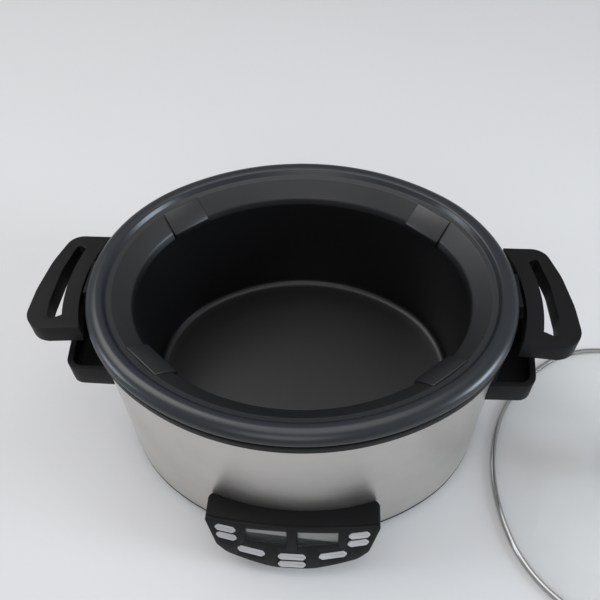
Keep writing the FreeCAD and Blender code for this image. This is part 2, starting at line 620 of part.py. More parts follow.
def window(side, inset):
    """The block that one display window takes out of the fascia, drawn about the panel's top middle."""
    body = new_body()
    low = "window_top + window_tall"
    left = f"{side} * window_middle - window_half + {inset}"
    right = f"{side} * window_middle + window_half - {inset}"
    corners = [(left, f"-window_top - {inset}"), (right, f"-window_top - {inset}"),
               (right, f"-({low} - {side} * window_slant / 2 - {inset})"),
               (left, f"-({low} + {side} * window_slant / 2 - {inset})")]
    pad(body, outline(body, "XY_Plane", corners), "12", middle=True)
    return on_panel(body)


keep(cut(fascia_slab, *button_holes, *[window(side, "0") for side in (-1, 1)]), "panel_fascia")
for name in BUTTONS:
    keep(push_button(name), name)
for side, word in ((-1, "left"), (1, "right")):
    slab = cut(panel_drum("0.2"), panel_drum("fascia_thick"))
    keep(shared(window(side, "fit_gap"), slab), f"display_lens_{word}")

housing_solid = shared(panel_prism("0", "160"), panel_drum("(fascia_thick + fit_gap)"))
hollow = cut(panel_prism("housing_wall", "160"), shell_core("loose_gap + housing_wall"))
bosses = [rod("screw_bar + 2.2", "13", x, f"-({BACK}) - 5", "panel_screw_high", FAR_Y)
          for x in ("panel_screw_half", "-panel_screw_half")]
button_rooms = [button_space(name, "button_flange", "8") for name in BUTTONS]
housing_shell = cut(housing_solid, near_core, hollow, *button_rooms)
wire_way = rod("7.5", "60", "0", "-200", "panel_screw_high", FAR_Y)
boss_bores = [rod("screw_bar + fit_gap / 2", "60", x, f"-({BACK}) - 12", "panel_screw_high", FAR_Y)
              for x in ("panel_screw_half", "-panel_screw_half")]
keep(cut(fused(housing_shell, *[cut(boss, near_core) for boss in bosses]), wire_way, *boss_bores),
     "panel_housing")

PANEL_WALL = f"sqrt(({SIDE_RADIUS} - shell_wall)^2 - panel_screw_half^2) - side_centre"


def panel_screw(x):
    """A pan-head screw driven outwards through the shell into the panel's boss."""
    start = f"screw_cap + 1.2 - ({PANEL_WALL})"
    return fused(rod("screw_head", "screw_cap", x, start, "panel_screw_high", -FAR_Y),
                 rod("screw_bar", "screw_cap + 11", x, start, "panel_screw_high", -FAR_Y))


keep(group(*[panel_screw(x) for x in ("panel_screw_half", "-panel_screw_half")]), "panel_screws")

circuit = new_body()
board_edge = mirrored([("0", "-5"), ("62", "-5"), ("50", "-28"), ("28", "-34.5"), ("0", "-39")])
pad(circuit, outline(circuit, "XY_Plane", board_edge), "board_thick")
circuit.Placement = FreeCAD.Placement(FreeCAD.Vector(0, 0, -number("board_back")), FreeCAD.Rotation())
keep(on_panel(circuit), "control_board")
for side, word in ((-1, "left"), (1, "right")):
    module = block("2 * window_half - 1", "window_tall", "lcd_thick", f"{side} * window_middle",
                   "-window_top - window_tall / 2 - 0.5", "-fascia_thick - lcd_thick - 2.4")
    keep(on_panel(group(module)), f"display_{word}")

# ---------------------------------------------------------------- lid
KNOB_SEAT = "lid_band_tall / 2 + glass_rise + glass_thick / 2"


def on_table(item):
    """Lay a lid piece down beside the cooker, turned the way the lid lies."""
    spot = FreeCAD.Vector(number("lid_x"), number("lid_y"), 0)
    turn = FreeCAD.Rotation(FreeCAD.Vector(0, 0, 1), number("lid_turn"))
    item.Placement = FreeCAD.Placement(spot, turn).multiply(item.Placement)
    return item


def dome(low):
    """Corners of the glass's upper or lower face, from its edge to the middle."""
    steps = ((-2, 0), (-6, 0.18), (-20, 0.52), (-42, 0.82), (-66, 0.97), (-86, 1))
    face = [(f"-lid_edge + {out}", f"{low} + {rise} * glass_rise") for out, rise in steps]
    return face + [(None, f"{low} + glass_rise")]


GLASS_LOW = "lid_band_tall / 2 - glass_thick / 2"
glass_skin = oval_piece(dome(GLASS_LOW) + dome(f"{GLASS_LOW} + glass_thick")[::-1])
glass = cut(glass_skin, rod("screw_bar + fit_gap", "60"), rod("vent_bar + fit_gap", "60", "vent_x"))
keep(on_table(glass), "lid_glass")
band = oval_piece([
    ("-lid_edge", "0"), ("-lid_edge", "lid_band_tall"), ("-lid_edge - 2 + fit_gap", "lid_band_tall"),
    ("-lid_edge - 2 + fit_gap", "glass_edge_low"), ("-lid_edge - lid_band", "glass_edge_low"),
    ("-lid_edge - lid_band", "0")])
keep(on_table(band), "lid_rim")
washer_hole = rod("screw_bar + fit_gap", "4", z=f"{KNOB_SEAT} - 1")
keep(on_table(cut(rod("washer_bar", "washer_thick", z=KNOB_SEAT), washer_hole)), "lid_knob_washer")
knob = fused(rod("knob_waist", "knob_tall - knob_cap", z=f"{KNOB_SEAT} + washer_thick"),
             rod("knob_bar", "knob_cap", z=f"{KNOB_SEAT} + washer_thick + knob_tall - knob_cap"))
keep(on_table(cut(knob, rod("screw_bar + fit_gap / 2", "10", z=f"{KNOB_SEAT} + 1"))), "lid_knob")
UNDER_GLASS = f"{KNOB_SEAT} - glass_thick"
SCREW_LOW = f"{UNDER_GLASS} - screw_cap"
keep(on_table(fused(rod("screw_head + 1", "screw_cap", z=SCREW_LOW),
                    rod("screw_bar", "glass_thick + screw_cap + washer_thick + 9", z=SCREW_LOW))),
     "lid_screw")
eyelet = fused(rod("vent_bar", "glass_thick + 1", "vent_x", z=f"{UNDER_GLASS} - 1"),
               rod("vent_bar + 2.5", "1.5", "vent_x", z=KNOB_SEAT))
keep(on_table(cut(eyelet, rod("vent_bar - 1.5", "20", "vent_x", z=f"{UNDER_GLASS} - 4"))), "lid_vent_eyelet")

# ---------------------------------------------------------------- check and write
doc.recompute()
failed = [f"{item.Name} {item.Label} {item.State}" for item in doc.Objects
          if "Invalid" in item.State or "Error" in item.State]
failed += [f"{item.Label} has no valid shape" for item in parts
           if item.Shape.isNull() or not item.Shape.isValid() or not item.Shape.Solids]
if failed:
    raise SystemExit("\n".join(failed))
os.makedirs("parts", exist_ok=True)
for item in parts:
    item.Shape.exportStep(f"parts/{item.Label}.step")
    box = item.Shape.BoundBox
    print(f"{item.Label}: {len(item.Shape.Solids)} solids, {item.Shape.Volume / 1000:.1f} cm3, "
          f"x {box.XMin:.1f}..{box.XMax:.1f} y {box.YMin:.1f}..{box.YMax:.1f} "
          f"z {box.ZMin:.1f}..{box.ZMax:.1f}")
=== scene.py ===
import math
from contextlib import contextmanager

import bmesh
import bpy
from bpy.props import FloatProperty, FloatVectorProperty, PointerProperty
from mathutils import Matrix, Vector
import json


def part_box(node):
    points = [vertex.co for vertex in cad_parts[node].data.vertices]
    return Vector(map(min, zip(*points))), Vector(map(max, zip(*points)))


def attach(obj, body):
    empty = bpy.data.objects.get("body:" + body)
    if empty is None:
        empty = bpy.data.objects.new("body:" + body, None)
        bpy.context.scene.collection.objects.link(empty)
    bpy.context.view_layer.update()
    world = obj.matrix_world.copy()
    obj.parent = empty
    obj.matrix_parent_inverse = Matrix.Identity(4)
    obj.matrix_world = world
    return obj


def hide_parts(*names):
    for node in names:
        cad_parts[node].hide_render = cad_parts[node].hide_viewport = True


bl_info = {
    "name": "Oval Slow Cooker",
    "version": (1, 0, 0),
    "blender": (4, 5, 0),
    "location": "3D View > Sidebar > Slow Cooker",
    "description": "Models and finishes an oval slow cooker over its engineering frame",
    "category": "Object",
}

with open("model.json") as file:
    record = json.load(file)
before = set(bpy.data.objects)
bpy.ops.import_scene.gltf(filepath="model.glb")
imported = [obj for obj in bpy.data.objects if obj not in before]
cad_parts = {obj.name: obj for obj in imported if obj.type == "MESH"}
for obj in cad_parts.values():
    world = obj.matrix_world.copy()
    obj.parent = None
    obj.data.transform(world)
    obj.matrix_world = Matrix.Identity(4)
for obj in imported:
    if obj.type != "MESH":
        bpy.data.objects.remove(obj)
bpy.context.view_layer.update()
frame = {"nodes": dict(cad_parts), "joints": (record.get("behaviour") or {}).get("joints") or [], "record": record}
JOINTS = {joint["name"]: joint for joint in frame["joints"]}

MM = 0.001
SHELL_LOW, SHELL_HIGH = (Vector(corner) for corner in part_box("outer_shell"))
GRIP_LOW, GRIP_HIGH = (Vector(corner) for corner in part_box("pot_handle_right"))
EAR_LOW, EAR_HIGH = (Vector(corner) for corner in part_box("base_handle_right"))
POT_LOW, POT_HIGH = (Vector(corner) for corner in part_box("cooking_pot"))
KNOB_LOW, KNOB_HIGH = (Vector(corner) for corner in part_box("lid_knob"))
PRESS = Vector(JOINTS["button_start_stop_press"]["axis"])
MERGE = 2e-5
END_STEPS, SIDE_STEPS = 52, 40


# ---------------------------------------------------------------- what a user may change
def size(name, description, default, low=0.0, high=1.0):
    return FloatProperty(name=name, description=description, default=default, min=low, max=high,
                         unit="LENGTH", subtype="DISTANCE", precision=4)


def colour(name, description, default):
    return FloatVectorProperty(name=name, description=description, default=default, min=0, max=1,
                               size=3, subtype="COLOR")


class CookerSizes(bpy.types.PropertyGroup):
    """Sizes of the cooker's finished pieces."""
    end_centre: size("End centre", "How far each end arc's centre lies from the middle", 42 * MM)
    side_centre: size("Side centre", "How far each side arc's centre lies from the middle", 56 * MM)
    pot_wall: size("Pot wall", "Thickness of the pot's wall", 2.5 * MM)
    rest_width: size("Rack rest width", "Width of each flat rest inside the pot's shoulder", 37 * MM)
    grip_edge: size("Handle edge", "Rounding along the pot handles' edges", 3.6 * MM)
    ear_edge: size("Base handle edge", "Rounding along the base handles' edges", 1.5 * MM)
    panel_curve: size("Panel curve", "Radius of the control panel's bowed face", 500 * MM)
    fascia: size("Fascia thickness", "Thickness of the panel's front plate", 2.5 * MM)
    button_edge: size("Button edge", "Rounding round each push button", 0.7 * MM)
    lid_rise: size("Lid rise", "How far the lid's glass rises in the middle", 24 * MM)
    glass: size("Glass thickness", "Thickness of the lid's glass", 4 * MM)


class CookerColours(bpy.types.PropertyGroup):
    """Colours of the cooker's finishes."""
    coating: colour("Pot coating", "Dark non-stick coating", (0.007, 0.0075, 0.008))
    # Lighter and bluer than the coating: a painted highlight on top of the rim's real gloss.
    rim: colour("Pot rim", "The coating where it is polished at the rim", (0.011, 0.014, 0.018))
    handle: colour("Handles", "Moulded handles", (0.0048, 0.005, 0.0052))
    hood: colour("Hood", "Moulded hood behind the panel", (0.0035, 0.0036, 0.004))
    panel: colour("Fascia", "Satin front plate", (0.005, 0.0052, 0.0055))
    steel: colour("Steel shell", "Brushed steel", (0.60, 0.58, 0.555))
    silver: colour("Buttons", "Silver painted buttons", (0.42, 0.42, 0.425))
    window: colour("Display", "Unlit display glass", (0.42, 0.45, 0.42))
    glass: colour("Lid glass", "Tint of the lid's glass", (0.84, 0.86, 0.85))
    floor: colour("Floor", "Floor and backdrop", (0.635, 0.632, 0.635))


class StageSizes(bpy.types.PropertyGroup):
    """Where the camera and the lamps are."""
    lens: FloatProperty(name="Lens", description="Focal length of the camera", default=39.588, unit="CAMERA")
    lift: FloatProperty(name="Elevation", description="How far the camera looks down",
                        default=math.radians(50.31), subtype="ANGLE", unit="ROTATION")
    swing: FloatProperty(name="Swing", description="How far the camera stands to the right",
                         default=math.radians(4.92), subtype="ANGLE", unit="ROTATION")
    roll: FloatProperty(name="Roll", description="Tilt of the camera about its view",
                        default=math.radians(-1.87), subtype="ANGLE", unit="ROTATION")
    distance: size("Distance", "From the camera to what it looks at", 581.3 * MM)


# ---------------------------------------------------------------- modelling
def focus(piece):
    """Select one object alone and make it active."""
    bpy.ops.object.select_all(action="DESELECT")
    piece.select_set(True)
    bpy.context.view_layer.objects.active = piece
    return piece


@contextmanager
def editing(piece):
    """The piece in edit mode, for as long as the block lasts."""
    focus(piece)
    bpy.ops.object.mode_set(mode="EDIT")
    yield
    bpy.ops.object.mode_set(mode="OBJECT")


def choose(piece, kind, test):
    """In edit mode, select only the verts, edges or faces that pass the test."""
    bpy.ops.mesh.select_mode(type=kind)
    bpy.ops.mesh.select_all(action="DESELECT")
    mesh = bmesh.from_edit_mesh(piece.data)
    items = {"VERT": mesh.verts, "EDGE": mesh.edges, "FACE": mesh.faces}[kind]
    for item in items:
        item.select = bool(test(item))
    mesh.select_flush_mode()
    bmesh.update_edit_mesh(piece.data)


def rounded(corners, closed=False, bends=5):
    """Points along a flat line whose corners are rounded. A corner is (x, y) or (x, y, radius)."""
    points = []
    for i, corner in enumerate(corners):
        here = Vector(corner[:2])
        if len(corner) < 3 or (not closed and i in (0, len(corners) - 1)):
            points.append(here)
            continue
        back = Vector(corners[i - 1][:2]) - here
        ahead = Vector(corners[(i + 1) % len(corners)][:2]) - here
        half = back.angle(ahead) / 2
        reach = min(corner[2] / math.tan(half), 0.49 * back.length, 0.49 * ahead.length)
        middle = here + (back.normalized() + ahead.normalized()).normalized() * reach / math.cos(half)
        start = here + back.normalized() * reach - middle
        end = here + ahead.normalized() * reach - middle
        turn = math.remainder(math.atan2(end.y, end.x) - math.atan2(start.y, start.x), 2 * math.pi)
        points += [middle + Matrix.Rotation(turn * step / bends, 2) @ start for step in range(bends + 1)]
    return points


def draw_line(name, points, closed=True):
    """A new object that is one wire through the points, drawn corner by corner."""
    bpy.ops.object.select_all(action="DESELECT")
    bpy.ops.mesh.primitive_plane_add(size=MM, location=(0, 0, 0))
    piece = bpy.context.active_object
    piece.name = piece.data.name = name
    with editing(piece):
        bpy.ops.mesh.select_mode(type="VERT")
        bpy.ops.mesh.select_all(action="SELECT")
        bpy.ops.mesh.merge(type="CENTER")
        bpy.ops.transform.translate(value=points[0])
        for start, end in zip(points, points[1:]):
            bpy.ops.mesh.extrude_vertices_move(TRANSFORM_OT_translate={"value": end - start})
        if closed:
            choose(piece, "VERT", lambda vert: len(vert.link_edges) == 1)
            bpy.ops.mesh.edge_face_add()
    return piece


def tidy_normals():
    """Merge doubles and turn every face outwards, in edit mode."""
    bpy.ops.mesh.select_mode(type="VERT")
    bpy.ops.mesh.select_all(action="SELECT")
    bpy.ops.mesh.remove_doubles(threshold=MERGE)
    bpy.ops.mesh.normals_make_consistent(inside=False)


def slab(name, outline, low, tall):
    """An upright solid with the given outline, a list of flat points."""
    piece = draw_line(name, [Vector((x, y, low)) for x, y in outline])
    with editing(piece):
        bpy.ops.mesh.select_all(action="SELECT")
        bpy.ops.mesh.edge_face_add()
        bpy.ops.mesh.extrude_region_move(TRANSFORM_OT_translate={"value": (0, 0, tall)})
        tidy_normals()
    return piece


def panel_slab(name, outline, low, tall):
    """A solid with an outline drawn on the panel's face, running level towards the cooker's back."""
    slope = PRESS.z / PRESS.y
    piece = draw_line(name, [Vector((x, y + slope * low, low)) for x, y in outline])
    with editing(piece):
        bpy.ops.mesh.select_all(action="SELECT")
        bpy.ops.mesh.edge_face_add()
        bpy.ops.mesh.extrude_region_move(TRANSFORM_OT_translate={"value": (0, slope * tall, tall)})
        tidy_normals()
    return piece


def oval_ring(name, section, closed=True):
    """Carry a section of (distance outside the shell, height) points round the four arcs of the oval."""
    sizes = bpy.context.scene.cooker_sizes
    half = math.atan2(sizes.side_centre, sizes.end_centre)
    radius = SHELL_HIGH.x - sizes.end_centre
    way = Vector((math.cos(half), -math.sin(half), 0))
    foot = Vector((sizes.end_centre, 0, 0))
    points = [foot + way * (radius + out) + Vector((0, 0, high)) for out, high in section]
    piece = draw_line(name, points, closed)
    end, side = (2 * half, END_STEPS), (math.pi - 2 * half, SIDE_STEPS)
    arcs = (((sizes.end_centre, 0, 0), *end), ((0, -sizes.side_centre, 0), *side),
            ((-sizes.end_centre, 0, 0), *end), ((0, sizes.side_centre, 0), *side))
    with editing(piece):
        bpy.ops.mesh.select_all(action="SELECT")
        for centre, angle, steps in arcs:
            bpy.ops.mesh.spin(steps=steps, angle=-angle, center=centre, axis=(0, 0, 1))
        if not closed:
            tidy_normals()
            bpy.ops.mesh.select_mode(type="EDGE")
            bpy.ops.mesh.select_all(action="DESELECT")
            bpy.ops.mesh.select_non_manifold(extend=False)
            close_ends(piece)
        tidy_normals()
    return piece


def shell_core(out, high):
    """A thick ring along the shell, standing out past it, to cut what has to follow its wall."""
    deep = -60 * MM
    return oval_ring("core", [(deep, 0), (out, 0), (out, high), (deep, high)])


def close_ends(piece):
    """Fill the open loops that a section's two ends leave, one at each height."""
    mesh = bmesh.from_edit_mesh(piece.data)
    heights = {round(edge.verts[0].co.z, 5) for edge in mesh.edges if edge.is_boundary}
    for height in heights:
        choose(piece, "EDGE", lambda edge: edge.is_boundary and abs(edge.verts[0].co.z - height) < MERGE)
        bpy.ops.mesh.edge_face_add()
        bpy.ops.mesh.inset(thickness=12 * MM)


def turned(name, section, centre):
    """A solid of revolution about an upright line, from (radius, height) points that start and end on it."""
    points = [Vector((centre.x + out, centre.y, high)) for out, high in section]
    piece = draw_line(name, points, closed=False)
    with editing(piece):
        bpy.ops.mesh.select_all(action="SELECT")
        bpy.ops.mesh.spin(steps=72, angle=2 * math.pi, center=(centre.x, centre.y, 0), axis=(0, 0, 1))
        tidy_normals()
    return piece


def carve(piece, *tools, way="DIFFERENCE"):
    """Cut the tools out of the piece, or keep only what they share with it, and remove them."""
    for tool in tools:
        focus(piece)
        cutter = piece.modifiers.new("Carve", "BOOLEAN")
        cutter.operation = way
        cutter.solver = "EXACT"
        cutter.object = tool
        bpy.ops.object.modifier_apply(modifier=cutter.name)
        bpy.data.objects.remove(tool)
    return piece


def soften(piece, width, segments=3, angle=30):
    """Round the piece's sharp edges."""
    focus(piece)
    edge = piece.modifiers.new("Soften", "BEVEL")
    edge.width = width
    edge.segments = segments
    edge.limit_method = "ANGLE"
    edge.angle_limit = math.radians(angle)
    edge.use_clamp_overlap = True
    bpy.ops.object.modifier_apply(modifier=edge.name)
    return smooth(piece)


def smooth(piece, angle=35):
    focus(piece)
    bpy.ops.object.shade_smooth_by_angle(angle=math.radians(angle))
    return piece


def put(piece, matrix):
    """Move a piece to its place and fix the place in its mesh."""
    focus(piece)
    piece.matrix_world = matrix
    bpy.ops.object.transform_apply(location=True, rotation=True, scale=True)
    return piece


def copied(piece, name):
    """A copy of the piece with its own mesh."""
    focus(piece)
    bpy.ops.object.duplicate(linked=False)
    twin = bpy.context.active_object
    twin.name = twin.data.name = name
    return twin


def left_twin(piece, name):
    """The piece's mirror image on the cooker's left."""
    twin = put(copied(piece, name), Matrix.Scale(-1, 4, (1, 0, 0)))
    with editing(twin):
        tidy_normals()
    return smooth(twin)


def joined(piece, *others):
    focus(piece)
    for other in others:
        other.select_set(True)
    bpy.ops.object.join()
    return piece


def finish(piece, body, slot, node, look=None):
    """Give a piece its finish, its body and the node it stands for."""
    piece.data.materials.clear()
    piece.data.materials.append(FINISHES[look or slot])
    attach(piece, body)
    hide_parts(node)


# ---------------------------------------------------------------- finishes
class Value:
    """A socket that takes part in sums, so that shader maths reads as plain expressions."""

    def __init__(self, tree, socket):
        self.tree = tree
        self.socket = socket

    def maths(self, operation, first, second=0.0, clamp=False):
        node = self.tree.nodes.new("ShaderNodeMath")
        node.operation = operation
        node.use_clamp = clamp
        for socket, item in zip(node.inputs, (first, second)):
            feed(self.tree, socket, item)
        return Value(self.tree, node.outputs[0])

    def __add__(self, other):
        return self.maths("ADD", self, other)

    def __sub__(self, other):
        return self.maths("SUBTRACT", self, other)

    def __mul__(self, other):
        return self.maths("MULTIPLY", self, other)

    def __rsub__(self, other):
        return self.maths("SUBTRACT", other, self)

    __radd__ = __add__
    __rmul__ = __mul__

    def ramp(self, low, high):
        """0 below low, 1 above high, even between."""
        return self.maths("MULTIPLY", self - low, 1 / (high - low), clamp=True)


def feed(tree, socket, item):
    if isinstance(item, Value):
        tree.links.new(item.socket, socket)
    elif socket.type == "RGBA" and len(item) == 3:
        socket.default_value = (*item, 1)
    else:
        socket.default_value = item


class Finish:
    """A material in the making, with its shader's constants set from the start."""

    def __init__(self, name, **constants):
        self.material = bpy.data.materials.new(name)
        self.material.use_nodes = True
        self.tree = self.material.node_tree
        self.shader = self.tree.nodes["Principled BSDF"]
        for word, value in constants.items():
            feed(self.tree, self.shader.inputs[word.replace("_", " ")], value)

    def node(self, kind, settings=None, sockets=None, out=0):
        """Any node: its settings are set first, then the values or links of its sockets."""
        node = self.tree.nodes.new("ShaderNode" + kind)
        for word, value in (settings or {}).items():
            setattr(node, word, value)
        for key, value in (sockets or {}).items():
            feed(self.tree, node.inputs[key], value)
        return Value(self.tree, node.outputs[out])

    def place(self, stretch=(1, 1, 1)):
        """The object's own coordinates, stretched."""
        return self.node("Mapping", sockets={"Vector": self.node("TexCoord", out=3), "Scale": stretch})

    def height(self):
        """The height above the table, in metres."""
        return self.node("SeparateXYZ", sockets={0: self.node("TexCoord", out=3)}, out=2)

    def noise(self, scale, detail=2.0, roughness=0.5, place=None):
        return self.node("TexNoise", sockets={"Vector": place or self.place(), "Scale": scale,
                                              "Detail": detail, "Roughness": roughness})

    def blend(self, amount, first, second):
        """A colour between two."""
        return self.node("Mix", {"data_type": "RGBA"}, {0: amount, 6: first, 7: second}, out=2)

    def surface(self, base=None, rough=None, bump=None, strength=0.2, depth=0.0002, alpha=None):
        """Link what changes over the surface."""
        for word, value in (("Base Color", base), ("Roughness", rough), ("Alpha", alpha)):
            if value is not None:
                feed(self.tree, self.shader.inputs[word], value)
        if bump is not None:
            raised = self.node("Bump", sockets={"Strength": strength, "Distance": depth, "Height": bump})
            feed(self.tree, self.shader.inputs["Normal"], raised)
        return self.material


def scaled(tone, amount):
    return tuple(min(1.0, part * amount) for part in tone)


def moulded(name, tone, rough=0.5, grain=2600, strength=0.25, gloss=0.16):
    """Moulded plastic: fine spark-eroded grain, faint cloudiness and small changes of gloss."""
    made = Finish(name, IOR=1.5, Specular_IOR_Level=gloss)
    cloud = made.noise(22, 3)
    fine = made.noise(grain, 2, 0.6)
    return made.surface(made.blend(cloud.ramp(0.3, 0.7), scaled(tone, 0.86), scaled(tone, 1.16)),
                        rough - 0.06 + cloud * 0.1 + fine * 0.05, fine, strength, 0.00006)


def metal(name, tone, rough=0.3, stretch=(1, 1, 1), scale=400, streak=0.12):
    """Bare metal with the marks of how it was worked."""
    made = Finish(name, Metallic=1.0)
    marks = made.noise(scale, 3, 0.6, made.place(stretch))
    cloud = made.noise(9, 2)
    return made.surface(made.blend(marks, scaled(tone, 0.9), scaled(tone, 1.06)),
                        rough - streak / 2 + marks * streak + cloud * 0.05, marks, 0.15, 0.00004)


def brushed(tone):
    """Steel sheet brushed round the body in long fine lines, with faint handling smears."""
    made = Finish("Brushed steel", Metallic=1.0)
    lines = made.noise(1, 4, 0.7, made.place((7, 7, 2600)))
    bands = made.noise(1, 2, 0.5, made.place((3, 3, 420)))
    smear = made.noise(16, 3, 0.6)
    both = lines * 0.7 + bands * 0.3
    wiped = made.blend(smear.ramp(0.35, 0.75), scaled(tone, 1.03), scaled(tone, 0.9))
    return made.surface(made.blend(both.ramp(0.2, 0.8), scaled(tone, 0.88), wiped),
                        0.31 + both * 0.14 + smear.ramp(0.45, 0.8) * 0.07, both, 0.12, 0.00003)


def pot_coating(colours):
    """Sprayed coating: matt inside, smoother on the shoulder and glossiest round the rim. Its colour holds painted
    shade inside, a painted highlight on the shoulder and a bluish painted highlight round the rim.
    """
    made = Finish("Pot coating", IOR=1.5, Specular_IOR_Level=0.5)
    rise = made.height()
    speck = made.noise(1500, 2, 0.6)
    cloud = made.noise(14, 3)
    at_rim = rise.ramp(POT_HIGH.z - 7 * MM, POT_HIGH.z - 4 * MM)
    at_shoulder = rise.ramp(POT_HIGH.z - 22 * MM, POT_HIGH.z - 19 * MM)
    # The shoulder's lighter colour is a painted highlight.
    shoulder = made.blend(cloud.ramp(0.35, 0.7), scaled(colours.coating, 1.35), scaled(colours.coating, 1.75))
    # Inside, the coating at half its colour is painted shade.
    inner = made.blend(at_shoulder, scaled(colours.coating, 0.5), shoulder)
    # Round the rim the lighter bluish rim colour is a painted highlight; the lower roughness there is real gloss.
    return made.surface(made.blend(at_rim, inner, tuple(colours.rim)),
                        0.34 + at_shoulder * 0.02 - at_rim * 0.11 + cloud * 0.06 + speck * 0.05,
                        speck, 0.22, 0.00005)


def display(tone):
    """An unlit display: grey-green above with faint mottling, a dark band of painted shade below a slanted line."""
    made = Finish("Display", IOR=1.45)
    spot = made.node("TexCoord", out=3)
    across = made.node("SeparateXYZ", sockets={0: spot}, out=0)
    rise = made.node("SeparateXYZ", sockets={0: spot}, out=2)
    low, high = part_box("display_left")
    line = low[2] + 0.36 * (high[2] - low[2]) - across * 0.09
    grain = made.noise(900, 2)
    glow = made.noise(40, 2)
    above = made.blend(glow.ramp(0.3, 0.7), scaled(tone, 0.85), scaled(tone, 1.15))
    # Below the slanted line the colour drops to 4 percent of the tone: painted shade from the window's recess.
    return made.surface(made.blend((rise - line).ramp(-0.0004, 0.0004), scaled(tone, 0.04), above),
                        0.3 + grain * 0.1)


def clear(name, tone, cover, edge, rough=0.04):
    """Clear sheet that lets light through, stronger where it is seen edge on."""
    made = Finish(name, IOR=1.5, Coat_Weight=0.15, Coat_Roughness=0.03)
    facing = made.node("LayerWeight", sockets={"Blend": 0.35}, out=1)
    haze = made.noise(30, 3)
    return made.surface(made.blend(haze, scaled(tone, 0.94), scaled(tone, 1.05)), rough + haze * 0.03,
                        alpha=cover + facing * edge + haze * 0.03)


def board_green():
    made = Finish("Circuit board", IOR=1.5)
    tracks = made.node("TexVoronoi", {"distance": "MANHATTAN"}, {"Vector": made.place(), "Scale": 420})
    return made.surface(made.blend(tracks.ramp(0.42, 0.5), (0.01, 0.09, 0.035), (0.02, 0.16, 0.06)),
                        0.35 + tracks * 0.1, tracks, 0.2, 0.00005)


def wool():
    made = Finish("Glass wool", Sheen_Weight=0.3)
    fibres = made.noise(1, 5, 0.7, made.place((300, 300, 900)))
    return made.surface(made.blend(fibres, (0.55, 0.52, 0.42), (0.78, 0.75, 0.64)), 0.85 + fibres * 0.1,
                        fibres, 0.6, 0.0006)


def all_finishes(colours):
    """Every finish, by the record's material slot."""
    handle = tuple(colours.handle)
    return {
        "pot_coating": pot_coating(colours),
        "handle_plastic": moulded("Handle plastic", handle, 0.5),
        "black_plastic": moulded("Black plastic", scaled(handle, 0.8), 0.46),
        "hood": moulded("Hood plastic", tuple(colours.hood), 0.5),
        "fascia_gloss": moulded("Fascia", tuple(colours.panel), 0.36, 3200, 0.12),
        "rubber": moulded("Rubber", (0.02, 0.02, 0.02), 0.75, 1800, 0.4),
        "brushed_steel": brushed(tuple(colours.steel)),
        "lid_steel": metal("Rolled steel", (0.42, 0.42, 0.42), 0.12, (8, 8, 300), 3, 0.08),
        "plated_steel": metal("Plated steel", (0.62, 0.62, 0.6), 0.28),
        # The brackets' black coating is also painted shade for the dark trough under the pot's rim.
        "bracket_steel": moulded("Black coated steel in painted shade", (0.005, 0.005, 0.005), 0.5, 1400),
        "element_metal": metal("Element sheath", (0.30, 0.28, 0.25), 0.45),
        "well_metal": metal("Aluminised sheet", (0.55, 0.55, 0.55), 0.38, (1, 1, 60), 30),
        "cast_plate": metal("Cast aluminium", (0.5, 0.5, 0.51), 0.5, (1, 1, 1), 700, 0.2),
        "insulation": wool(),
        "circuit": board_green(),
        "display_grey": display(tuple(colours.window)),
        "clear_window": clear("Window", (0.10, 0.11, 0.11), 0.04, 0.25),
        "button_silver": moulded("Silver paint", tuple(colours.silver), 0.3, 3000, 0.1, 0.6),
        "lid_glass": clear("Lid glass", tuple(colours.glass), 0.05, 0.26),
    }


FINISHES = {}


# ---------------------------------------------------------------- the cooker's pieces
class COOKER_OT_finishes(bpy.types.Operator):
    """Make every finish and give the carried-over nodes theirs"""
    bl_idname = "cooker.finishes"
    bl_label = "Finishes"

    def execute(self, context):
        FINISHES.update(all_finishes(context.scene.cooker_colours))
        slots = {part["node"]: part["material_slot"] for part in frame["record"]["subparts"]}
        for name, node in frame["nodes"].items():
            node.data.materials.clear()
            node.data.materials.append(FINISHES[slots[name]])
        return {"FINISHED"}


def rack_rest(sizes, turn):
    """One flat rest over the pot's shoulder, square to its end arc, with a crease across it."""
    reach = POT_HIGH.x - sizes.end_centre
    profile = [(-21, 187.2), (-22.8, 190), (-30.5, 184.9), (-38.4, 178.2), (-40.6, 175.6), (-41.2, 169.5),
               (-37, 167)]
    half = sizes.rest_width / 2
    rest = draw_line("rest", [Vector((reach + out * MM, -half, high * MM)) for out, high in profile])
    with editing(rest):
        bpy.ops.mesh.select_all(action="SELECT")
        bpy.ops.mesh.edge_face_add()
        bpy.ops.mesh.extrude_region_move(TRANSFORM_OT_translate={"value": (0, 2 * half, 0)})
        tidy_normals()
    soften(rest, 1.1 * MM, 4, 20)
    side = 1 if abs(turn) < 90 else -1
    foot = Matrix.Translation((side * sizes.end_centre, 0, 0))
    return put(rest, foot @ Matrix.Rotation(math.radians(turn), 4, "Z"))


